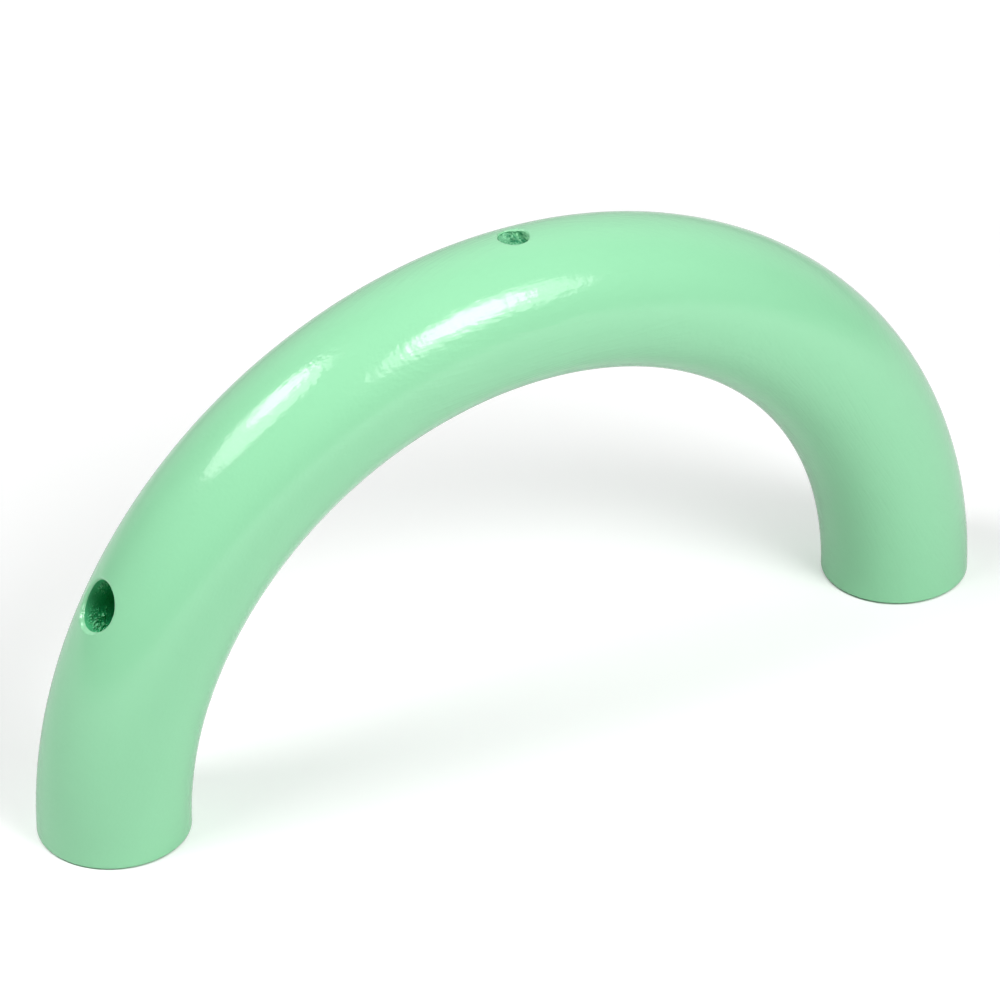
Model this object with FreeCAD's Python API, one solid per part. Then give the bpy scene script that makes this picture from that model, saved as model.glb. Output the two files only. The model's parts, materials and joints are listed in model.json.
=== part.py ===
"""Half ring of round-section wood, glued up from three straight-grained segments.

The ring stands on its two sawn ends. X runs from foot to foot, Y through the thickness and Z up. The
origin is on the floor, midway between the feet, which is also the centre of the ring. Lengths are in
millimetres. A turn is an angle in degrees round the ring, from the foot on +X over the crown at 90
to the foot on -X at 180.
"""
import FreeCAD, Part
import math
import os

Vector = FreeCAD.Vector

# The ring: a round section carried half way round a circle
ring_radius = 89.0          # to the middle of the section
section_radius = 15.0
half_turn = 180.0

# Segments of equal angle, in order from the foot on +X to the foot on -X
segment_names = ("right_segment", "crown_segment", "left_segment")
joint_names = ("right", "left")
segment_span = half_turn / len(segment_names)

# Pins: two fluted dowels across each glued joint, one each side of the section's middle
pin_radius = 3.0
pin_length = 30.0
pin_sides = {"outer": 1, "inner": -1}
pin_offset_share = 0.4      # of the section's radius, off its middle
flute_count = 8
flute_width = 0.8
flute_depth = 0.3
glue_line = 0.1             # all round a pin in its hole
glue_well = 1.0             # beyond each end of a pin

# Socket: a clean drilled hole in the outer side of the left leg, with its rim eased
socket_turn = 150.4
socket_shift = 0.0          # of its axis from the middle of the thickness, towards +Y
socket_radius = 5.0
socket_depth = 18.0         # of full-width wall, from the ring's outer side
socket_rim = 0.5

# Pilot hole: small, shallow and a little off the middle, on top of the crown
pilot_turn = 89.5
pilot_shift = 1.0
pilot_radius = 3.0
pilot_depth = 4.0
pilot_rim = 0.25

# The drill that made both holes, and how far each cut starts outside the wood
drill_point_angle = 118.0
cut_overrun = 3.0

ring_centre = Vector(0, 0, 0)
ring_axis = Vector(0, -1, 0)
same_place = 0.001          # points nearer than this are one point


def outward(turn):
    """Unit vector from the ring's centre towards its outer side."""
    angle = math.radians(turn)
    return Vector(math.cos(angle), 0, math.sin(angle))


def onward(turn):
    """Unit vector along the ring, in the direction of growing turn."""
    angle = math.radians(turn)
    return Vector(-math.sin(angle), 0, math.cos(angle))


def middle(turn):
    """Point on the ring's centre line."""
    return ring_centre + outward(turn) * ring_radius


def make_bow(first_turn, span):
    """Solid bow: the round section carried through an angle about the ring's axis.

    The section is two half circles that meet at the front and at the back, so that the outer side
    of the bow and its inner side are one face each.
    """
    front = middle(first_turn) + ring_axis * section_radius
    back = middle(first_turn) - ring_axis * section_radius
    outermost = middle(first_turn) + outward(first_turn) * section_radius
    innermost = middle(first_turn) - outward(first_turn) * section_radius
    outer_half = Part.Arc(front, outermost, back).toShape()
    inner_half = Part.Arc(back, innermost, front).toShape()
    section = Part.Face(Part.Wire([outer_half, inner_half]))
    return section.revolve(ring_centre, ring_axis, span)


def drill_sweep(mouth, inward, radius, depth):
    """Solid that a twist drill sweeps: a cylinder to the given depth, then the cone of its point."""
    barrel = Part.makeCylinder(radius, cut_overrun + depth, mouth - inward * cut_overrun, inward)
    point_height = radius / math.tan(math.radians(drill_point_angle / 2))
    point = Part.makeCone(radius, 0, point_height, mouth + inward * depth, inward)
    return barrel.fuse(point).removeSplitter()


def drill_outer_side(solid, turn, shift, radius, depth, rim):
    """Drill radially into the outer side of the ring and ease the rim of the hole."""
    axis_start = middle(turn) + Vector(0, shift, 0)
    mouth = axis_start + outward(turn) * section_radius
    holed = solid.cut(drill_sweep(mouth, -outward(turn), radius, depth))

    def is_on_mouth(place):
        """True at the hole's radius from its axis and on the round outside of the ring."""
        arm = place - axis_start
        from_axis = arm.cross(outward(turn)).Length
        in_plane = Vector(place.x, 0, place.z) - ring_centre
        from_centre_line = math.hypot(in_plane.Length - ring_radius, place.y)
        is_outside = abs(from_centre_line - section_radius) < same_place
        return is_outside and abs(from_axis - radius) < same_place and arm.dot(outward(turn)) > 0

    mouth_edges = []
    for edge in holed.Edges:
        places = [vertex.Point for vertex in edge.Vertexes]
        places.append(edge.valueAt((edge.FirstParameter + edge.LastParameter) / 2))
        if all(is_on_mouth(place) for place in places):
            mouth_edges.append(edge)
    return holed.makeChamfer(rim, mouth_edges)


def pin_middle(turn, side):
    """Middle of a pin: on the joint's face, to the outer or inner side of the section's middle."""
    return middle(turn) + outward(turn) * (pin_sides[side] * pin_offset_share * section_radius)


def pin_hole(turn, side):
    """Hole for one pin through both segments, with room for glue around it and past its ends."""
    half_length = pin_length / 2 + glue_well
    start = pin_middle(turn, side) - onward(turn) * half_length
    return Part.makeCylinder(pin_radius + glue_line, 2 * half_length, start, onward(turn))


def make_pin(turn, side):
    """Dowel pin, with flutes along it that let the glue out of the hole.

    Its section is drawn land by land: each round land, then the two flanks of the flute after it.
    """
    def on_section(angle, radius):
        """Point of the section, which is drawn round Z and half a pin below the pin's middle."""
        return Vector(radius * math.cos(angle), radius * math.sin(angle), -pin_length / 2)

    pitch = 2 * math.pi / flute_count
    half_flute = math.asin(flute_width / 2 / pin_radius)
    outline = []
    for number in range(flute_count):
        land_start = on_section(number * pitch + half_flute, pin_radius)
        land_middle = on_section(number * pitch + pitch / 2, pin_radius)
        land_end = on_section((number + 1) * pitch - half_flute, pin_radius)
        flute_bottom = on_section((number + 1) * pitch, pin_radius - flute_depth)
        flute_end = on_section((number + 1) * pitch + half_flute, pin_radius)
        outline.append(Part.Arc(land_start, land_middle, land_end).toShape())
        outline.append(Part.LineSegment(land_end, flute_bottom).toShape())
        outline.append(Part.LineSegment(flute_bottom, flute_end).toShape())
    pin = Part.Face(Part.Wire(outline)).extrude(Vector(0, 0, pin_length))
    along_ring = FreeCAD.Rotation(Vector(0, 0, 1), onward(turn))
    pin.Placement = FreeCAD.Placement(pin_middle(turn, side), along_ring)
    return pin


# Segments, from one foot to the other
nodes = {}
for order, name in enumerate(segment_names):
    nodes[name] = make_bow(order * segment_span, segment_span)

# Joints: each pin, and its hole in the two segments that it holds together
for order, joint in enumerate(joint_names):
    joint_turn = (order + 1) * segment_span
    for side in pin_sides:
        for name in (segment_names[order], segment_names[order + 1]):
            nodes[name] = nodes[name].cut(pin_hole(joint_turn, side))
        nodes[joint + "_" + side + "_dowel"] = make_pin(joint_turn, side)

# Holes in the outer side
nodes["left_segment"] = drill_outer_side(
    nodes["left_segment"], socket_turn, socket_shift, socket_radius, socket_depth, socket_rim)
nodes["crown_segment"] = drill_outer_side(
    nodes["crown_segment"], pilot_turn, pilot_shift, pilot_radius, pilot_depth, pilot_rim)

os.makedirs("parts", exist_ok=True)
for name, shape in nodes.items():
    shape.exportStep("parts/" + name + ".step")
    print(name, "solids", len(shape.Solids), "valid", shape.isValid(), "volume", round(shape.Volume, 1))
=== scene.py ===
import json
import math

import bmesh
import bpy
import numpy as np
from mathutils import Matrix, Vector


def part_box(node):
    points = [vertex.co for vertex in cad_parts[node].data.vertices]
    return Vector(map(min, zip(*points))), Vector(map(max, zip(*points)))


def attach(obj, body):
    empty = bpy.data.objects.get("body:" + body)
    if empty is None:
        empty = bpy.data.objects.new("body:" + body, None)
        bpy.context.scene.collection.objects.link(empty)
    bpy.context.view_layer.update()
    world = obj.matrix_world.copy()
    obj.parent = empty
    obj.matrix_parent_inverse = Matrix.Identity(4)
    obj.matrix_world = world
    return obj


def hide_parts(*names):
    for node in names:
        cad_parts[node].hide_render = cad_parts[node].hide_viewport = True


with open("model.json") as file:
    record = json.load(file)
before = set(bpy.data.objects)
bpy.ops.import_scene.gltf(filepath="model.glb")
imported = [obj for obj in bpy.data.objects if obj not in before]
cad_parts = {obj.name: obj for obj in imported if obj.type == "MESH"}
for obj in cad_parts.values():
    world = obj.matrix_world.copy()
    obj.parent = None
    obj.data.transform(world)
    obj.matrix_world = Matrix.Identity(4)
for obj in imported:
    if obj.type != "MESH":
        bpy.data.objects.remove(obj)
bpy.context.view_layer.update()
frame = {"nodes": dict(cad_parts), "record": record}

# Right leg segment
# A third of the half ring, sawn to a curve out of straight-grained hardwood and turned round in
# section. It was glued to the crown segment and then painted, so the enamel runs over the joint
# unbroken; the sawn foot took the same paint.

# Lengths are in metres and angles in radians. A turn is an angle round the ring from the foot on +X.
right_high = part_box("right_segment")[1]     # its highest corner
section_radius = right_high.y
ring_radius = right_high.x - section_radius
segment_span = math.pi / 3
joint_turns = {"right": segment_span, "left": 2 * segment_span}

rows_along = 120
columns_round = 128
joint_row = 0.00005         # narrow last row, so that the shading runs on across a joint
sanding_depth = 0.00004
sanding_waves = 14
sanding_shortest = 0.012    # length of its shortest wave
sanding_seed = 7
foot_arris = 0.0003
foot_arris_rows = 4
foot_rings = 6
# Each sawn face is a little crowned, so its edge clears the card: by how much, the share by which
# that varies, and the angle round the section where it is most. 1 is the foot on +X.
foot_clearance = {1: (0.00020, 0.5, math.radians(220)), -1: (0.00017, 0.3, math.radians(-61))}
pin_hole_radius = 0.0031
pin_hole_depth = 0.016
pin_offset_share = 0.4      # of the section's radius
diameter_cells = 24
joint_face_rings = 4
crease_angle = math.radians(38)


def outward(turn):
    """Unit vectors from the ring's centre to its outer side: the cosine of the turn along X and its
    sine along Z."""
    return np.stack([np.cos(turn), 0 * turn, np.sin(turn)], axis=-1)


def onward(turn):
    """Unit vectors along the ring: the outward vector a quarter turn on."""
    return outward(turn + math.pi / 2)


def sanded(turn, section_angle):
    """Depth of hand sanding below the true round: half the full depth, and up to half more or less
    by the mean of a few waves of seeded heading and phase, with whole waves round the section."""
    chance = np.random.default_rng(sanding_seed)
    most_along = 2 * math.pi * ring_radius / sanding_shortest
    most_round = 2 * math.pi * section_radius / sanding_shortest
    wave = 0
    for _ in range(sanding_waves):
        along = chance.uniform(-most_along, most_along)
        around = int(chance.uniform(-most_round, most_round))
        wave = wave + np.sin(along * turn + around * section_angle + chance.uniform(0, 2 * math.pi))
    return sanding_depth * (0.5 + 0.5 * wave / sanding_waves)


def ring_skin(turn, section_angle):
    """Points of the ring's surface: from the ring's centre outward by the ring's radius plus the
    section's radius times the cosine of the angle round the section, and back by its sine."""
    turn, section_angle = np.broadcast_arrays(turn, section_angle)
    radius = section_radius - sanded(turn, section_angle)
    reach = ring_radius + radius * np.cos(section_angle)
    return outward(turn) * reach[..., None] + back * (radius * np.sin(section_angle))[..., None]


class Shell:
    """The closed skin of one piece: points, and faces that name their corners by number. Pale is the
    painted light and shade in a hole at each point: 1 is the skin's own colour, as if lit, and less is
    darker, as painted shade."""

    def __init__(self):
        self.points = np.empty((0, 3))
        self.pale = np.empty(0)
        self.faces = []
        self.finishes = []

    def add(self, points, pale=1.0):
        """Add an array of points, and give their numbers in the array's own shape."""
        numbers = len(self.points) + np.arange(points[..., 0].size)
        self.points = np.vstack([self.points, points.reshape(-1, 3)])
        self.pale = np.append(self.pale, np.broadcast_to(pale, points.shape[:-1]))
        return numbers.reshape(points.shape[:-1])

    def cover(self, corners, finish):
        """Add faces: one for each row of corner numbers."""
        corners = corners.reshape(-1, corners.shape[-1])
        self.faces += corners.tolist()
        self.finishes += [finish] * len(corners)

    def band(self, row, next_row, finish):
        """Quads between two closed rows with as many points each."""
        self.cover(np.stack([row, np.roll(row, -1), np.roll(next_row, -1), next_row], -1), finish)

    def doubling_band(self, row, next_row, finish):
        """Triangles between a closed row and one with twice its points: three to each outer edge."""
        here, after = row, np.roll(row, -1)
        even, odd, next_even = next_row[0::2], next_row[1::2], np.roll(next_row[0::2], -1)
        self.cover(np.stack([here, odd, even], -1), finish)
        self.cover(np.stack([here, after, odd], -1), finish)
        self.cover(np.stack([after, next_even, odd], -1), finish)

    def fan(self, row, tip, finish, pale=1.0):
        """Triangles from a closed row to one point, which closes a pole."""
        tips = np.full_like(row, self.add(tip[None], pale)[0])
        self.cover(np.stack([row, np.roll(row, -1), tips], -1), finish)

    def bands(self, row, rows, finish, pale=None):
        """Bands from a closed row over an array of further rows. Gives the last row's numbers."""
        for number, points in enumerate(rows):
            next_row = self.add(points, 1.0 if pale is None else pale[number])
            self.band(row, next_row, finish)
            row = next_row
        return row

    def build(self, name, materials):
        """Make the mesh, with its faces outward and its edges sharp where the wood is cut."""
        named = np.concatenate([np.array(face) for face in self.faces])
        used, corners = np.unique(named, return_inverse=True)
        sizes = np.array([len(face) for face in self.faces])
        faces = [part.tolist() for part in np.split(corners, np.cumsum(sizes)[:-1])]
        mesh = bpy.data.meshes.new(name)
        mesh.from_pydata(self.points[used].tolist(), [], faces)
        mesh.polygons.foreach_set("material_index", self.finishes)
        mesh.attributes.new("pale", "FLOAT", "POINT").data.foreach_set("value", self.pale[used])
        shaped = bmesh.new()
        shaped.from_mesh(mesh)
        bmesh.ops.recalc_face_normals(shaped, faces=shaped.faces)
        shaped.to_mesh(mesh)
        shaped.free()
        mesh.shade_smooth()
        mesh.set_sharp_from_angle(angle=crease_angle)
        for material in materials:
            mesh.materials.append(material)
        piece = bpy.data.objects.new(name, mesh)
        bpy.context.scene.collection.objects.link(piece)
        return piece


painted, bare, in_hole = 0, 1, 2    # finishes of a segment's faces, in the order of its materials
back = np.array([0.0, 1.0, 0.0])
section_angles = np.linspace(0, 2 * math.pi, columns_round, endpoint=False)


def segment_turns(first_turn):
    """Turns of a segment's rows: even steps, with a narrow row beside each end."""
    turns = first_turn + np.linspace(0, segment_span, rows_along + 1)
    narrow = joint_row / ring_radius
    return np.concatenate([turns[:1], turns[:1] + narrow, turns[1:-1], turns[-1:] - narrow, turns[-1:]])


def edge_clearance(side):
    """Height of a foot's edge above the card round the section: the mean, more or less a share of it
    by the cosine of the angle from the highest place."""
    mean, share, highest = foot_clearance[side]
    return mean * (1 + share * np.cos(section_angles - highest))


def close_foot(shell, row, side):
    """Sawn foot: a quarter round of the arris' radius from the skin to the edge's clearance, then
    rings to the middle, which fall to the card by the square of their share of the radius. Side is 1
    for the foot on +X and -1 for the other."""
    arc = np.linspace(0, math.pi / 2, foot_arris_rows + 1)[1:]
    radii = section_radius - sanding_depth / 2 - foot_arris * (1 - np.cos(arc))
    shares = np.linspace(1, 0, foot_rings + 1)[1:-1]
    falls = np.concatenate([1 + 0 * arc, shares ** 2])[:, None]
    heights = np.concatenate([foot_arris * (1 - np.sin(arc)), 0 * shares])[:, None]
    radii = np.concatenate([radii, shares * radii[-1]])[:, None]
    rings = np.stack([side * (ring_radius + radii * np.cos(section_angles)),
                      radii * np.sin(section_angles),
                      heights + falls * edge_clearance(side)], -1)
    row = shell.bands(row, rings, painted)
    shell.fan(row, np.array([side * ring_radius, 0, 0]), painted)


def foot_row(side):
    """Last row of skin above a foot: the points of the ring's surface where the arris starts."""
    reach = ring_radius + section_radius * np.cos(section_angles)
    turn = np.arcsin((foot_arris + edge_clearance(side)) / reach)
    return ring_skin(turn if side > 0 else math.pi - turn, section_angles)


def close_joint(shell, row, turn, into):
    """Flat joint face with its two pin holes. The face is split along the section's diameter, and
    each half is rings between its outline and its hole, with their points on the same rays from the
    hole's middle. Into is 1 where the wood lies onward of the joint and -1 where it lies before."""
    middle, out, along = outward(turn) * ring_radius, outward(turn), onward(turn)
    quarter = columns_round // 4
    ends = shell.points[row[[quarter, -quarter]]]
    across = np.linspace(0, 1, diameter_cells + 1)[1:-1, None]
    diameter = shell.add(ends[0] + (ends[1] - ends[0]) * across)
    outer_half = np.concatenate([np.roll(row, quarter)[:2 * quarter + 1], diameter])
    inner_half = np.concatenate([row[quarter:3 * quarter + 1], diameter[::-1]])
    for half, side in ((outer_half, 1), (inner_half, -1)):
        hole_middle = middle + out * (side * pin_offset_share * section_radius)
        rim = shell.points[half]
        rays = rim - hole_middle
        hole = hole_middle + rays * (pin_hole_radius / np.linalg.norm(rays, axis=-1))[:, None]
        shares = np.linspace(0, 1, joint_face_rings + 1)[1:, None, None]
        edge = shell.bands(half, rim + (hole - rim) * shares, bare)
        bottom = shell.bands(edge, [hole + along * (into * pin_hole_depth)], bare)
        shell.fan(bottom, hole_middle + along * (into * pin_hole_depth), bare)


def segment_skin(shell, first_turn, feet=(), window=None):
    """Skin of a segment: a grid of rows along the ring and columns round the section. A foot, 1 on
    +X and -1 on -X, takes the place of the first or last two rows. Window is four row and column
    limits left open for a hole. Gives the numbers of the grid's points."""
    points = ring_skin(segment_turns(first_turn)[:, None], section_angles)
    if 1 in feet:
        points = np.concatenate([foot_row(1)[None], points[2:]])
    if -1 in feet:
        points = np.concatenate([points[:-2], foot_row(-1)[None]])
    grid = shell.add(points)
    right = np.roll(grid, -1, axis=1)
    cells = np.stack([grid[:-1], right[:-1], right[1:], grid[1:]], -1)
    keep = np.ones(cells.shape[:2], bool)
    if window:
        first_row, last_row, first_column, last_column = window
        columns = np.arange(first_column, last_column) % columns_round
        keep[first_row:last_row, columns] = False
    shell.cover(cells[keep], painted)
    return grid


def node_graph(tree):
    """Gives a function that adds nodes to one node tree."""
    def add(kind, inputs=None, **settings):
        """Add a node. Inputs are values by socket name or number; a socket as value is joined. On a
        Mix node 2 and 3 are its two numbers, and 6 and 7 its two colours."""
        node = tree.nodes.new(kind)
        for name, value in settings.items():
            setattr(node, name, value)
        for name, value in (inputs or {}).items():
            if isinstance(value, bpy.types.NodeSocket):
                tree.links.new(value, node.inputs[name])
            else:
                node.inputs[name].default_value = value
        return node
    return add


def new_material(name):
    """Gives an empty material, and the function that adds its nodes."""
    material = bpy.data.materials.new(name)
    material.use_nodes = True
    material.node_tree.nodes.clear()
    return material, node_graph(material.node_tree)


def make_grain_group():
    """Grain of a straight board, from a place with X along the board and the pith line at zero.

    Rings is noise of the distance from the pith line, drawn out along the board and round the pith.
    Fibres is noise drawn out along the board alone. Both run from 0 to 1."""
    group = bpy.data.node_groups.new("wood_grain", "ShaderNodeTree")
    group.interface.new_socket("Place", in_out="INPUT", socket_type="NodeSocketVector")
    for name in ("Ring width", "Fibre width"):
        group.interface.new_socket(name, in_out="INPUT", socket_type="NodeSocketFloat")
    for name in ("Rings", "Fibres"):
        group.interface.new_socket(name, in_out="OUTPUT", socket_type="NodeSocketFloat")
    add = node_graph(group)
    given = add("NodeGroupInput")
    noise = add("ShaderNodeTexNoise", {"Vector": given.outputs["Place"], "Scale": wander_scale,
                                       "Detail": 1.0})
    centred = add("ShaderNodeVectorMath", {0: noise.outputs["Color"], 1: (0.5, 0.5, 0.5)},
                  operation="SUBTRACT")
    strayed = add("ShaderNodeVectorMath", {0: centred.outputs[0], "Scale": grain_wander},
                  operation="SCALE")
    place = add("ShaderNodeVectorMath", {0: given.outputs["Place"], 1: strayed.outputs[0]})
    apart = add("ShaderNodeSeparateXYZ", {0: place.outputs[0]})
    along, across, up = apart.outputs["X"], apart.outputs["Y"], apart.outputs["Z"]
    flat = add("ShaderNodeCombineXYZ", {"Y": across, "Z": up})
    from_pith = add("ShaderNodeVectorMath", {0: flat.outputs[0]}, operation="LENGTH")
    bearing = add("ShaderNodeMath", {0: up, 1: across}, operation="ARCTAN2")
    drawn = []
    for value, width in ((along, grain_run), (from_pith.outputs["Value"], given.outputs["Ring width"]),
                         (bearing.outputs[0], grain_turn)):
        drawn.append(add("ShaderNodeMath", {0: value, 1: width}, operation="DIVIDE").outputs[0])
    ring_place = add("ShaderNodeCombineXYZ", {0: drawn[0], 1: drawn[1], 2: drawn[2]})
    rings = add("ShaderNodeTexNoise", {"Vector": ring_place.outputs[0], "Scale": 1.0, "Detail": 1.0})
    drawn = []
    for value, width in ((along, fibre_run), (across, given.outputs["Fibre width"]),
                         (up, given.outputs["Fibre width"])):
        drawn.append(add("ShaderNodeMath", {0: value, 1: width}, operation="DIVIDE").outputs[0])
    fibre_place = add("ShaderNodeCombineXYZ", {0: drawn[0], 1: drawn[1], 2: drawn[2]})
    fibres = add("ShaderNodeTexNoise", {"Vector": fibre_place.outputs[0], "Scale": 1.0, "Detail": 1.0})
    given_out = add("NodeGroupOutput")
    group.links.new(rings.outputs[0], given_out.inputs["Rings"])
    group.links.new(fibres.outputs[0], given_out.inputs["Fibres"])
    return group


wander_scale = 45.0         # of the noise by which the grain strays from straight, per metre
grain_wander = 0.0016       # how far it strays, from one side to the other
grain_run = 0.014           # length along the board of a feature of the rings
grain_turn = math.radians(13)   # its angle round the pith
fibre_run = 0.0045          # length along the board of a feature of the fibres
wood_grain = make_grain_group()
grain_in_paint = (0.00035, 0.0006)      # widths of rings and fibres, as they show through the paint
grain_in_beech = (0.0014, 0.0003)
mint = (0.326, 0.752, 0.440, 1.0)
mint_cloud = (0.317, 0.737, 0.429, 1.0)
gloss_roughness = 0.12
cloud_scale = 70.0          # of the noises in the paint, per metre: its clouds of colour,
lump_scale = 550.0          # its lumps
peel_scale = 1500.0         # and its orange peel
peel_relief = 0.000017
flush_relief = 0.000012     # of the rings beside a joint, which was sanded flush
flush_from = math.radians(17)   # from the segment's middle
flush_to = math.radians(22.5)


def grain_place(add, middle_turn, pith):
    """Object coordinates turned so that X runs along the segment's chord, with the pith line at zero."""
    seen = add("ShaderNodeTexCoord")
    turned = add("ShaderNodeMapping", {"Vector": seen.outputs["Object"],
                                       "Rotation": (0.0, middle_turn - math.pi / 2, 0.0)},
                 vector_type="POINT")
    return add("ShaderNodeVectorMath", {0: turned.outputs[0], 1: pith}, operation="SUBTRACT")


def add_grain(add, place, ring_width, fibre_width):
    """Place the wood's grain in a material, with its own widths of rings and fibres."""
    return add("ShaderNodeGroup", {"Place": place.outputs[0], "Ring width": ring_width,
                                   "Fibre width": fibre_width}, node_tree=wood_grain)


def turn_from(add, middle_turn):
    """Angle round the ring from a segment's middle, from Object coordinates: the bearing of Z over X
    less the middle's turn, without its sign."""
    seen = add("ShaderNodeTexCoord")
    apart = add("ShaderNodeSeparateXYZ", {0: seen.outputs["Object"]})
    turn = add("ShaderNodeMath", {0: apart.outputs["Z"], 1: apart.outputs["X"]}, operation="ARCTAN2")
    off_middle = add("ShaderNodeMath", {0: turn.outputs[0], 1: middle_turn}, operation="SUBTRACT")
    return add("ShaderNodeMath", {0: off_middle.outputs[0]}, operation="ABSOLUTE")


def make_enamel(name, middle_turn, pith, ring_relief, fibre_relief, lump_relief):
    """Thick gloss enamel on wood: the grain ripples through it, less so beside the joints, which were
    sanded flush after gluing, and it is slightly uneven itself."""
    material, add = new_material(name)
    place = grain_place(add, middle_turn, pith)
    grain = add_grain(add, place, *grain_in_paint)
    lumps = add("ShaderNodeTexNoise", {"Vector": place.outputs[0], "Scale": lump_scale, "Detail": 1.0})
    peel = add("ShaderNodeTexNoise", {"Vector": place.outputs[0], "Scale": peel_scale, "Detail": 0.5})
    clouds = add("ShaderNodeTexNoise", {"Vector": place.outputs[0], "Scale": cloud_scale, "Detail": 2.0})
    raised = add("ShaderNodeMapRange", {"Value": turn_from(add, middle_turn).outputs[0],
                                        "From Min": flush_from, "From Max": flush_to,
                                        "To Min": ring_relief, "To Max": flush_relief})
    height = add("ShaderNodeMath", {0: grain.outputs["Rings"], 1: raised.outputs[0]},
                 operation="MULTIPLY")
    for source, relief in ((grain.outputs["Fibres"], fibre_relief), (lumps.outputs[0], lump_relief),
                           (peel.outputs[0], peel_relief)):
        height = add("ShaderNodeMath", {0: source, 1: relief, 2: height.outputs[0]},
                     operation="MULTIPLY_ADD")
    colour = add("ShaderNodeMix", {"Factor": clouds.outputs[0], 6: mint_cloud, 7: mint}, data_type="RGBA")
    bump = add("ShaderNodeBump", {"Height": height.outputs[0], "Distance": 1.0})
    paint = add("ShaderNodeBsdfPrincipled", {"Base Color": colour.outputs[2], "Normal": bump.outputs[0],
                                             "Roughness": gloss_roughness})
    add("ShaderNodeOutputMaterial", {"Surface": paint.outputs[0]})
    return material


def make_bare_wood(name, middle_turn, pith):
    """Bare beech, pale with pinkish brown rings, as it shows on a joint face."""
    material, add = new_material(name)
    grain = add_grain(add, grain_place(add, middle_turn, pith), *grain_in_beech)
    tone = add("ShaderNodeMix", {"Factor": fibre_share, 2: grain.outputs["Rings"],
                                 3: grain.outputs["Fibres"]})
    spread = add("ShaderNodeMapRange", {"Value": tone.outputs[0], "From Min": dark_tone,
                                        "From Max": pale_tone})
    colour = add("ShaderNodeMix", {"Factor": spread.outputs[0], 6: dark_beech, 7: pale_beech},
                 data_type="RGBA")
    bump = add("ShaderNodeBump", {"Height": grain.outputs["Fibres"], "Distance": beech_relief})
    wood = add("ShaderNodeBsdfPrincipled", {"Base Color": colour.outputs[2], "Normal": bump.outputs[0],
                                            "Roughness": beech_roughness})
    add("ShaderNodeOutputMaterial", {"Surface": wood.outputs[0]})
    return material


fibre_share = 0.35          # of the fibres in the tone; the rest is rings
dark_tone = 0.35            # tone at which the beech is darkest
pale_tone = 0.62
dark_beech = (0.56, 0.33, 0.16, 1.0)
pale_beech = (0.70, 0.48, 0.27, 1.0)
beech_relief = 0.00004
beech_roughness = 0.62
middle_turns = {"right": segment_span / 2, "crown": 1.5 * segment_span, "left": 2.5 * segment_span}
# Where the pith line of each board lies: towards the back, and out from the ring's centre
piths = {"right": (0.0, 0.018, 0.050), "crown": (0.0, 0.028, 0.060), "left": (0.0, 0.060, 0.080)}
# How high the rings, the fibres and the paint's own lumps stand in the enamel of each segment
reliefs = {"right": (0.000040, 0.000030, 0.000055),
           "crown": (0.000062, 0.000031, 0.000045),
           "left": (0.000012, 0.000016, 0.000034)}

shell = Shell()
grid = segment_skin(shell, 0.0, feet=(1,))
close_foot(shell, grid[0], 1)
close_joint(shell, grid[-1], joint_turns["right"], -1)
right_segment = shell.build("right_segment_painted", [
    make_enamel("enamel_right", middle_turns["right"], piths["right"], *reliefs["right"]),
    make_bare_wood("beech_right", middle_turns["right"], piths["right"])])
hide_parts("right_segment")
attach(right_segment, "root")

# Crown segment
# The middle third, glued between the legs, with both its joint faces drilled for two pins. A small
# hole was bored in its top before painting, and thick paint ran into it and dried in lumps.

mounts = {mount["name"]: mount for mount in frame["record"]["mounts"]}
window_margin = 0.0022      # of skin between a hole's rim and the cells left open for it
rim_rows = 9
rim_flat = 0.7              # share of the rim's profile that is a flat bevel; the rest is a quarter round
rim_lump_width = (3.0, 4.0)     # in rows and columns
rim_lump_least = 0.15       # share of their height that the rim's lumps keep off the wide side
rim_seed = 5
# Rows between the open window and the mouth: how far on each one lies, and if its points double
surround_rows = ((0.28, False), (0.5, True), (0.68, False), (0.84, True), (1.0, False))


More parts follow.
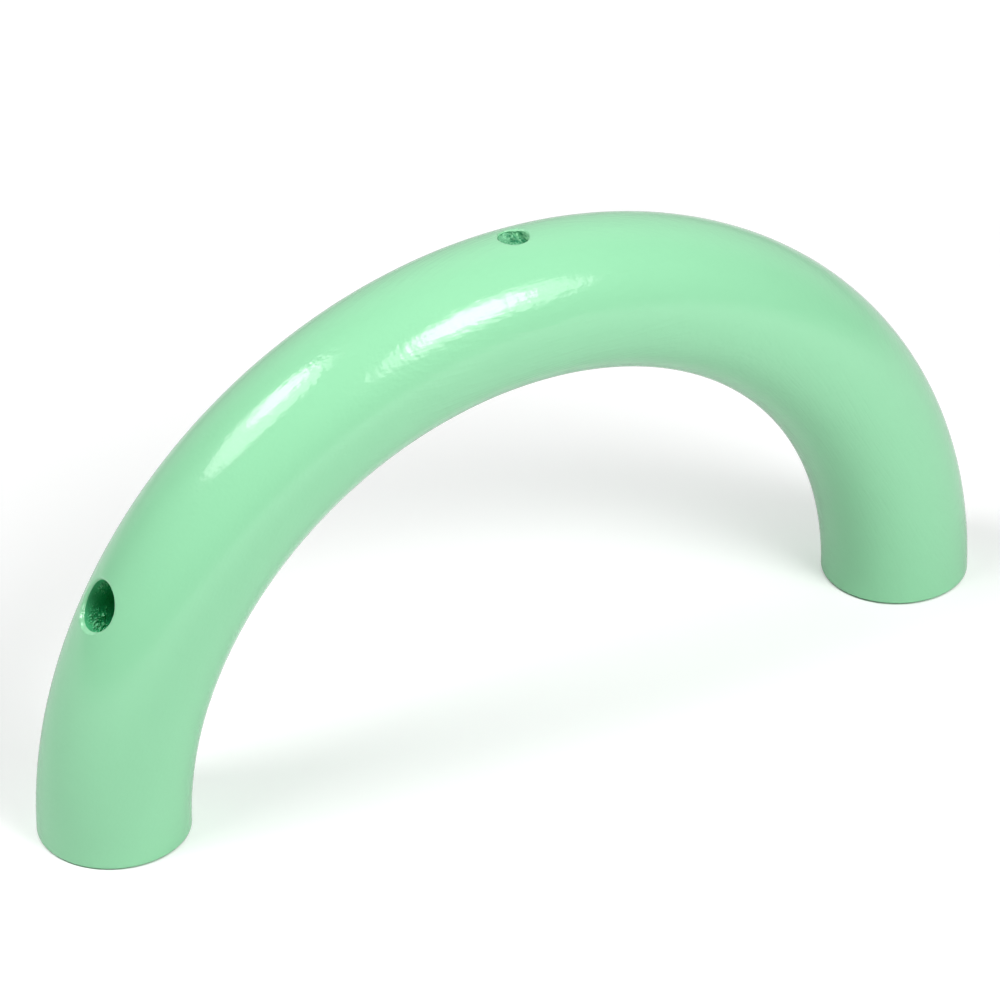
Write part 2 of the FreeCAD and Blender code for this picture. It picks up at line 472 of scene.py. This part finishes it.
class Hole:
    """A drilled hole's frame, from its mount: its turn and shift, its radius and where it ends. Its
    rim has the given width, less by a share opposite its wide side, and lumps of paint of the given
    height, most of them on the wide side."""

    def __init__(self, mount, rim, rim_loss, rim_lumps, wide_side):
        place, axis = np.array(mount["pos_m"]), np.array(mount["axis"])
        self.turn = math.atan2(axis[2], axis[0])
        self.shift = place[1]
        self.radius = mount["dims"]["r_mm"] / 1000
        self.rim, self.rim_loss, self.rim_lumps, self.wide_side = rim, rim_loss, rim_lumps, wide_side
        self.floor = place @ axis - mount["dims"]["length_mm"] / 2000
        self.out, self.along = outward(self.turn), onward(self.turn)

    def rim_width(self, angle):
        """Width of the rim: full on the wide side, and less by the cosine of the angle from there."""
        return self.rim * (1 - self.rim_loss * (1 - np.cos(angle - self.wide_side)) / 2)

    def on_skin(self, spread, angle):
        """Points of the ring's surface round the hole, by distance from its axis and angle from the
        foot's side towards the back: the place is found from its offsets along the ring and back."""
        across = self.shift + spread * np.sin(angle)
        section_angle = np.arcsin(across / section_radius)
        reach = ring_radius + section_radius * np.cos(section_angle)
        turn = self.turn + np.arcsin(spread * np.cos(angle) / reach)
        return ring_skin(turn, section_angle)

    def inside(self, spread, angle, height):
        """Points inside the hole, by distance from its axis, angle and distance from the ring's
        centre along the axis."""
        spread, angle, height = np.broadcast_arrays(spread, angle, height)
        return (self.out * height[..., None] + self.along * (spread * np.cos(angle))[..., None]
                + back * (self.shift + spread * np.sin(angle))[..., None])

    def window(self, first_turn):
        """Row and column limits of the cells that the hole's surround takes the place of."""
        half = self.radius + self.rim + window_margin
        turns = segment_turns(first_turn)
        reach = ring_radius + section_radius
        rows = np.searchsorted(turns, [self.turn - half / reach, self.turn + half / reach])
        column = 2 * math.pi / columns_round
        lowest = math.floor(math.asin((self.shift - half) / section_radius) / column)
        highest = math.ceil(math.asin((self.shift + half) / section_radius) / column)
        return rows[0] - 1, rows[1], lowest, highest


def cloudy(seed, rows, columns, row_width, column_width):
    """Smooth random field: seeded white noise, blurred by a bell curve of the given widths in rows
    and columns through its Fourier transform, which closes it on itself, and brought to a mean of 0
    and a deviation of 1."""
    noise = np.random.default_rng(seed).normal(size=(rows, columns))
    row_waves = np.fft.fftfreq(rows)[:, None]
    column_waves = np.fft.fftfreq(columns)[None]
    blur = np.exp(-2 * math.pi ** 2 * ((row_waves * row_width) ** 2 + (column_waves * column_width) ** 2))
    field = np.fft.ifft2(np.fft.fft2(noise) * blur).real
    return (field - field.mean()) / field.std()


def smooth_step(value, start, end):
    """0 before the start and 1 past the end, with a smooth cubic rise between them."""
    share = np.clip((value - start) / (end - start), 0, 1)
    return share * share * (3 - 2 * share)


def surround_hole(shell, grid, window, hole):
    """Skin between the open window of the grid and the hole's eased rim. Each row lies part of the
    way from the window's outline to the mouth's circle, and two rows have twice the points of the
    row before. Then the rim: it follows the skin inward while it drops, along a line that is partly
    a bevel and partly a quarter round, and lumps stand up half way along it. Gives the last row's
    numbers and angles."""
    first_row, last_row, first_column, last_column = window
    columns = np.arange(first_column, last_column + 1) % columns_round
    rows = np.arange(first_row, last_row + 1)
    loop = np.concatenate([grid[first_row, columns], grid[rows[1:], columns[-1]],
                           grid[last_row, columns[::-1][1:]], grid[rows[::-1][1:-1], columns[0]]])
    offsets = shell.points[loop]
    flat = np.stack([offsets @ hole.along, offsets @ back - hole.shift], -1)
    row = loop
    for share, twice in surround_rows:
        if twice:
            flat = np.stack([flat, (flat + np.roll(flat, -1, axis=0)) / 2], 1).reshape(-1, 2)
        angle = np.arctan2(flat[:, 1], flat[:, 0])
        mouth = hole.radius + hole.rim_width(angle)
        circle = mouth[:, None] * np.stack([np.cos(angle), np.sin(angle)], -1)
        here = flat + (circle - flat) * share
        spread, bearing = np.linalg.norm(here, axis=-1), np.arctan2(here[:, 1], here[:, 0])
        next_row = shell.add(hole.on_skin(spread, bearing))
        join = shell.doubling_band if twice else shell.band
        join(row, next_row, painted)
        row = next_row
    share = np.linspace(0, 1, rim_rows + 1)[1:, None]
    arc = share * math.pi / 2
    width = hole.rim_width(angle)
    spread = hole.radius + width * (1 - rim_flat * share - (1 - rim_flat) * np.sin(arc))
    drop = width * (rim_flat * share + (1 - rim_flat) * (1 - np.cos(arc)))
    facing = np.clip(np.cos(angle - hole.wide_side), 0, None) ** 2
    high = hole.rim_lumps * (rim_lump_least + (1 - rim_lump_least) * facing) * np.sin(2 * arc)
    lumps = high * cloudy(rim_seed, rim_rows, len(row), *rim_lump_width)
    rim = hole.on_skin(spread - lumps, angle) - hole.out * (drop - lumps)[..., None]
    return shell.bands(row, rim, painted), angle


def make_hole_enamel_with_painted_light(name, middle_turn, pith, painted_shade_colour, painted_light_colour):
    """Enamel as it dried in a drilled hole, never rubbed down: matt, and mixed by the pale value from a
    dark colour, which is painted shade, to a light one, which is painted light."""
    material, add = new_material(name)
    place = grain_place(add, middle_turn, pith)
    grain = add_grain(add, place, *grain_in_hole)
    lumps = add("ShaderNodeTexNoise", {"Vector": place.outputs[0], "Scale": dried_scale, "Detail": 1.0})
    height = add("ShaderNodeMath", {0: grain.outputs["Fibres"], 1: dried_fibre_relief},
                 operation="MULTIPLY")
    height = add("ShaderNodeMath", {0: lumps.outputs[0], 1: dried_relief, 2: height.outputs[0]},
                 operation="MULTIPLY_ADD")
    pale = add("ShaderNodeAttribute", attribute_name="pale")
    colour = add("ShaderNodeMix", {"Factor": pale.outputs["Fac"], 6: painted_shade_colour, 7: painted_light_colour},
                 data_type="RGBA")
    bump = add("ShaderNodeBump", {"Height": height.outputs[0], "Distance": 1.0})
    paint = add("ShaderNodeBsdfPrincipled", {"Base Color": colour.outputs[2], "Normal": bump.outputs[0],
                                             "Roughness": dried_roughness, "Specular IOR Level": 0.0})
    add("ShaderNodeOutputMaterial", {"Surface": paint.outputs[0]})
    return material


grain_in_hole = (0.00035, 0.0002)
dried_scale = 1800.0        # of the noise in paint that dried in a hole, per metre
dried_relief = 0.00012
dried_fibre_relief = 0.00003
dried_roughness = 0.6
pilot_rim = 0.00025
pilot_rim_lumps = 0.00007
# Painted shade: the dark colour given to the paint down in the pilot hole.
painted_shade_in_pilot = (0.050, 0.285, 0.135, 1.0)
paint_rings = 56
paint_wall_rows = 9
paint_high = 0.00070        # depth of the dried paint on the left of the hole, and on the right
paint_low = 0.0019
paint_step = (0.0, -0.75)   # where it falls from one to the other, in shares of the hole's radius
# Lumps and pits of dried paint: offsets along the ring and back, and width, as shares of the hole's
# radius, then height in metres
paint_lumps = (
    (-0.12, 0.76, 0.07, 0.00030),
    (-0.10, 0.58, 0.06, 0.00034),
    (-0.10, 0.42, 0.06, 0.00030),
    (-0.06, 0.24, 0.08, 0.00036),
    (0.27, 0.07, 0.07, 0.00026),
    (0.44, 0.40, 0.16, 0.00012),
    (-0.66, 0.72, 0.09, 0.00070),
    (-0.54, 0.34, 0.07, 0.00044),
    (-0.40, 0.16, 0.06, 0.00030),
    (-0.50, 0.00, 0.07, 0.00040),
    (-0.34, -0.16, 0.08, 0.00036),
    (-0.42, 0.88, 0.08, 0.00050),
    (0.02, 0.52, 0.06, -0.00030),
    (0.04, 0.34, 0.07, -0.00034),
    (-0.22, 0.30, 0.09, -0.00040),
    (-0.28, 0.66, 0.12, -0.00060),
    (-0.25, 0.92, 0.12, -0.00070),
    (0.14, 0.05, 0.07, -0.00034),
    (0.20, -0.20, 0.11, -0.00040),
    (-0.10, -0.30, 0.14, -0.00055),
    (-0.70, 0.10, 0.12, -0.00050),
)
# Painted light on the lumps and painted shade in the pits: paler by height above the paint, darker by
# depth below it.
lump_painted_light = 0.0005          # of added height, for a lump to be as pale as the skin
# Painted light and shade of the flat paint: paler on the shallow left part, darker on the deep right
# part.
fill_painted_light = (0.33, 0.16)    # of the flat paint on the left of the hole, and on the right
fill_painted_light_step = (0.05, -0.22)
# Painted light on the wall: none on the left, which is in shade, and most on the right, which faces the
# light.
wall_painted_light = (0.0, 0.75)     # of the wall, on the left and on the right
grit_height = 0.00007
grit_width = 1.8            # in rows and columns
grit_seed = 6
wall_grit_seed = 8
# Painted light on the wall's raised grit, and painted shade between it and towards the wall's foot in the
# crease.
wall_grit_painted_light = 0.6        # share by which the grit makes the wall paler
wall_foot_painted_shade = 0.5        # share of its paleness that the wall has lost at its foot

pilot = Hole(mounts["crown_pilot_hole"], pilot_rim, 0.0, pilot_rim_lumps, math.pi / 2)
shell = Shell()
window = pilot.window(segment_span)
grid = segment_skin(shell, segment_span, window=window)
close_joint(shell, grid[0], joint_turns["right"], 1)
close_joint(shell, grid[-1], joint_turns["left"], -1)
row, angle = surround_hole(shell, grid, window, pilot)
spreads = pilot.radius * np.linspace(1, 0, paint_rings + 1)[:-1, None]
along, across = spreads * np.cos(angle) / pilot.radius, spreads * np.sin(angle) / pilot.radius
fall = smooth_step(along, *paint_step)
lumps = grit_height * cloudy(grit_seed, paint_rings, len(row), grit_width, grit_width)
for lump_along, lump_back, width, height in paint_lumps:
    away = np.hypot(along - lump_along, across - lump_back)
    lumps = lumps + height * np.exp(-(away / width) ** 2)
fill_heights = ring_radius + section_radius - paint_high - (paint_low - paint_high) * fall + lumps
# Painted light and shade of the dried paint, kept as each point's paleness.
flat_light_and_shade = fill_painted_light[0] + (fill_painted_light[1] - fill_painted_light[0]) * smooth_step(along, *fill_painted_light_step)
fill_light_and_shade = np.clip(flat_light_and_shade + lumps / lump_painted_light, 0, 1)
top = shell.points[row] @ pilot.out
shares = np.linspace(0, 1, paint_wall_rows + 1)[1:-1, None]
grit = cloudy(wall_grit_seed, paint_wall_rows - 1, len(row), 1.0, 2 * grit_width)
wall = pilot.inside(pilot.radius - np.clip(grit, 0, None) * grit_height, angle,
                    top + (fill_heights[0] - top) * shares)
# Painted light and shade of the wall, kept as each point's paleness.
wall_light_and_shade = wall_painted_light[0] + (wall_painted_light[1] - wall_painted_light[0]) * fall[0]
wall_light_and_shade = wall_light_and_shade * (1 + wall_grit_painted_light * grit) * (1 - wall_foot_painted_shade * shares)
row = shell.bands(row, wall, in_hole, np.clip(wall_light_and_shade, 0, 1))
fill = pilot.inside(spreads, angle, fill_heights)
row = shell.bands(row, fill, in_hole, fill_light_and_shade)
shell.fan(row, fill[-1].mean(0), in_hole, fill_light_and_shade[-1].mean())
crown_segment = shell.build("crown_segment_painted", [
    make_enamel("enamel_crown", middle_turns["crown"], piths["crown"], *reliefs["crown"]),
    make_bare_wood("beech_crown", middle_turns["crown"], piths["crown"]),
    make_hole_enamel_with_painted_light("pilot_hole_enamel_with_painted_light", middle_turns["crown"], piths["crown"],
                        painted_shade_in_pilot, mint)])
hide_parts("crown_segment")
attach(crown_segment, "root")

# Left leg segment
# The last third, with a clean hole drilled radially into its outer side for a round peg. The drill
# tore the fibres where the wall faces along the grain, and the paint coated the torn ends.

socket_rim = 0.00070        # width on its wide side
socket_rim_loss = 0.6       # share that it has lost opposite
socket_rim_lumps = 0.00007
socket_wide_side = math.radians(25)     # from the foot's side towards the back
# Painted shade: the dark colour of the paint down in the socket; the next colour is painted light on the
# torn fibres' tips and at the mouth.
painted_shade_in_socket = (0.020, 0.44, 0.155, 1.0)
painted_light_on_tears = (0.235, 0.730, 0.405, 1.0)
torn_rows = 90              # of the wall, near its mouth
clean_rows = 40             # and below
torn_depth = 0.0068         # of the wall that the torn rows cover
point_rows = 10
half_point_angle = math.radians(59)     # of the drill
tear_height = 0.00014
tear_seed = 3
tear_width = (1.1, 0.9)     # in rows and columns
tear_start = (0.0004, 0.0016)       # depths at which the tears begin and are full
tear_end = (0.0048, 0.0068)         # and at which they fade and are gone
tear_facing = math.radians(-10)     # where the wall faces along the grain
tear_narrowing = 1.2        # power by which the tears fade off that facing
# Painted light: on the tips of the torn fibres, and on the wall near the mouth.
tear_painted_light = 0.0003          # of torn height, for a fibre's tip to be as pale as the skin
mouth_painted_light = 0.40           # of the wall at its mouth, as painted light where light reaches in
mouth_painted_light_depth = 0.0036   # at which that has faded

socket = Hole(mounts["side_socket"], socket_rim, socket_rim_loss, socket_rim_lumps, socket_wide_side)
shell = Shell()
window = socket.window(2 * segment_span)
grid = segment_skin(shell, 2 * segment_span, feet=(-1,), window=window)
close_joint(shell, grid[0], joint_turns["left"], 1)
close_foot(shell, grid[-1], -1)
row, angle = surround_hole(shell, grid, window, socket)
top = shell.points[row] @ socket.out
torn_end = top.min() - torn_depth
heights = np.concatenate([
    top + (torn_end - top) * np.linspace(0, 1, torn_rows + 1)[1:, None],
    torn_end + (socket.floor - torn_end) * np.linspace(0, 1, clean_rows + 1)[1:, None] + 0 * top])
depths = top - heights
tears = np.clip(cloudy(tear_seed, len(heights), len(row), *tear_width), 0, None) ** 2
fade = smooth_step(depths, *tear_start) * (1 - smooth_step(depths, *tear_end))
facing = np.abs(np.cos(angle - tear_facing)) ** tear_narrowing
torn = facing * tears * tear_height * fade
# Painted light and shade in the socket, kept as each point's paleness: paler at the mouth and on the
# fibres' tips.
socket_light_and_shade = mouth_painted_light * np.clip(1 - depths / mouth_painted_light_depth, 0, 1) + torn / tear_painted_light
row = shell.bands(row, socket.inside(socket.radius - torn, angle, heights), in_hole,
                  np.clip(socket_light_and_shade, 0, 1))
narrowing = np.linspace(1, 0, point_rows + 1)[1:-1, None] * socket.radius
point_heights = socket.floor - (socket.radius - narrowing) / math.tan(half_point_angle)
row = shell.bands(row, socket.inside(narrowing, angle, point_heights), in_hole,
                  np.zeros((len(narrowing), len(angle))))
shell.fan(row, socket.out * (socket.floor - socket.radius / math.tan(half_point_angle)), in_hole, 0.0)
left_segment = shell.build("left_segment_painted", [
    make_enamel("enamel_left", middle_turns["left"], piths["left"], *reliefs["left"]),
    make_bare_wood("beech_left", middle_turns["left"], piths["left"]),
    make_hole_enamel_with_painted_light("socket_enamel_with_painted_light", middle_turns["left"], piths["left"],
                        painted_shade_in_socket, painted_light_on_tears)])
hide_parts("left_segment")
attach(left_segment, "root")

# Dowel pins
# Four short beech pins, two across each joint, bought in with flutes pressed along them that let
# the glue out of the hole. They are glued in before the painting and stay bare wood.

pin_pith = (0.0, 0.02, 0.03)    # of the board that the pins were cut from

for joint, turn in joint_turns.items():
    for side in ("outer", "inner"):
        name = f"{joint}_{side}_dowel"
        node = frame["nodes"][name]
        node.data.materials.clear()
        node.data.materials.append(make_bare_wood("beech_" + name, turn, pin_pith))

# Floor, lights and camera
# A sheet of white card under the ring, two soft boxes with a brighter lamp in each, and a pale
# backdrop in a dark room, which only the gloss shows. It is seen from the front left.

card_half = 3.0
card_gap = 0.00003          # below the feet, so that the card and a foot are never one plane
card_colour = (0.80, 0.80, 0.80, 1.0)
card_roughness = 0.9
card_lift = {0.20: 0.335, 0.60: 0.9}        # added to the card where the camera sees it, by distance
# In the gloss the card is darker near the ring, as painted shade of the card round it.
lift_in_gloss = {0.15: 0.06, 0.35: 0.24}    # the same where the gloss shows it
room_fill = 0.12            # light of the room on the object
room_in_gloss = 0.10        # in its gloss
room_seen = 1.0             # and behind it, to the camera
backdrop_in_gloss = 0.68
backdrop_bearing = (0.487, 0.873, 0.0)
backdrop_edge = (0.30, 0.75)    # of the cosine of the angle from its bearing

corners = [(-card_half, -card_half), (card_half, -card_half),
           (card_half, card_half), (-card_half, card_half)]
mesh = bpy.data.meshes.new("white_card")
mesh.from_pydata([(x, y, -card_gap) for x, y in corners], [], [(0, 1, 2, 3)])
card = bpy.data.objects.new("white_card", mesh)
bpy.context.scene.collection.objects.link(card)


def by_ray(add, on_object, in_gloss, to_camera):
    """A strength by where the light goes: on the object, into a gloss or glass that shows its source,
    or straight to the camera."""
    path = add("ShaderNodeLightPath")
    shown = add("ShaderNodeMath", {0: path.outputs["Is Glossy Ray"],
                                   1: path.outputs["Is Transmission Ray"]}, operation="MAXIMUM")
    strength = add("ShaderNodeMapRange", {"Value": shown.outputs[0], "To Min": on_object,
                                          "To Max": in_gloss})
    return add("ShaderNodeMapRange", {"Value": path.outputs["Is Camera Ray"],
                                      "To Min": strength.outputs[0], "To Max": to_camera})


material, add = new_material("white_card")
seen = add("ShaderNodeTexCoord")
distance = add("ShaderNodeVectorMath", {0: seen.outputs["Object"]}, operation="LENGTH")
lifts = []
for (near, near_lift), (far, far_lift) in (lift_in_gloss.items(), card_lift.items()):
    lifts.append(add("ShaderNodeMapRange", {"Value": distance.outputs["Value"], "From Min": near,
                                            "From Max": far, "To Min": near_lift, "To Max": far_lift}))
apart = add("ShaderNodeSeparateXYZ", {0: seen.outputs["Object"]})
aside = add("ShaderNodeMath", {0: apart.outputs["X"]}, operation="ABSOLUTE")
aside = add("ShaderNodeMath", {0: aside.outputs[0], 1: ring_radius}, operation="SUBTRACT")
from_foot = add("ShaderNodeCombineXYZ", {"X": aside.outputs[0], "Y": apart.outputs["Y"]})
from_foot = add("ShaderNodeVectorMath", {0: from_foot.outputs[0]}, operation="LENGTH")
# Painted shade: the lift is left off at each foot's edge, so a dark line of shade shows there.
clear = add("ShaderNodeMapRange", {"Value": from_foot.outputs["Value"], "To Max": 1.0,
                                   "From Min": section_radius - foot_arris, "From Max": section_radius})
to_camera = add("ShaderNodeMath", {0: lifts[1].outputs[0], 1: clear.outputs[0]}, operation="MULTIPLY")
lift = by_ray(add, 0.0, lifts[0].outputs[0], to_camera.outputs[0])
surface = add("ShaderNodeBsdfPrincipled", {"Base Color": card_colour, "Roughness": card_roughness,
                                           "Emission Color": (1.0, 1.0, 1.0, 1.0),
                                           "Emission Strength": lift.outputs[0]})
add("ShaderNodeOutputMaterial", {"Surface": surface.outputs[0]})
card.data.materials.append(material)

world = bpy.data.worlds.new("pale_room")
world.use_nodes = True
world.node_tree.nodes.clear()
add = node_graph(world.node_tree)
seen = add("ShaderNodeTexCoord")
facing = add("ShaderNodeVectorMath", {0: seen.outputs["Generated"], 1: backdrop_bearing},
             operation="DOT_PRODUCT")
in_gloss = add("ShaderNodeMapRange", {"Value": facing.outputs["Value"], "From Min": backdrop_edge[0],
                                      "From Max": backdrop_edge[1], "To Min": room_in_gloss,
                                      "To Max": backdrop_in_gloss}, interpolation_type="SMOOTHSTEP")
strength = by_ray(add, room_fill, in_gloss.outputs[0], room_seen)
room = add("ShaderNodeBackground", {"Color": (1.0, 1.0, 1.0, 1.0), "Strength": strength.outputs[0]})
add("ShaderNodeOutputWorld", {"Surface": room.outputs[0]})
bpy.context.scene.world = world


def direction(azimuth, elevation):
    """Unit vector to a place seen from the ring: azimuth in degrees from the front towards +X, and
    elevation in degrees above the floor."""
    azimuth, elevation = math.radians(azimuth), math.radians(elevation)
    return Vector((math.sin(azimuth) * math.cos(elevation),
                   -math.cos(azimuth) * math.cos(elevation),
                   math.sin(elevation)))


soft_box_aim = Vector((0.0, 0.0, 0.05))
soft_boxes = {
    # azimuth, elevation, distance, width, height, power
    "back_soft_box": (-96.5, 56.4, 1.060, 0.680, 0.590, 5.0),
    "back_lamp": (-107.4, 59.3, 1.075, 0.350, 0.270, 1.8),
    "front_soft_box": (18.0, 43.5, 0.831, 0.580, 0.480, 2.7),
    "front_lamp": (16.0, 45.7, 0.830, 0.310, 0.320, 2.4),
}
for name, (azimuth, elevation, distance, width, height, power) in soft_boxes.items():
    lamp = bpy.data.lights.new(name, "AREA")
    lamp.shape = "ELLIPSE"
    lamp.size, lamp.size_y = width, height
    lamp.energy = power
    away = direction(azimuth, elevation)
    soft_box = bpy.data.objects.new(name, lamp)
    soft_box.matrix_world = (Matrix.Translation(soft_box_aim + away * distance)
                             @ away.to_track_quat("Z", "Y").to_matrix().to_4x4())
    bpy.context.scene.collection.objects.link(soft_box)

camera_azimuth = -29.11
camera_elevation = 33.21
camera_distance = 1.1331
camera_roll = math.radians(-0.665)
camera_aim = Vector((-0.00321, 0.0, 0.04614))
sensor_width = 36.0         # millimetres
focal_length = 210.05
lens = bpy.data.cameras.new("camera")
lens.sensor_width = sensor_width
lens.lens = focal_length
camera = bpy.data.objects.new("camera", lens)
away = direction(camera_azimuth, camera_elevation)
camera.matrix_world = (Matrix.Translation(camera_aim + away * camera_distance)
                       @ away.to_track_quat("Z", "Y").to_matrix().to_4x4()
                       @ Matrix.Rotation(camera_roll, 4, "Z"))
bpy.context.scene.collection.objects.link(camera)
bpy.context.scene.camera = camera
bpy.context.scene.view_settings.view_transform = "Standard"
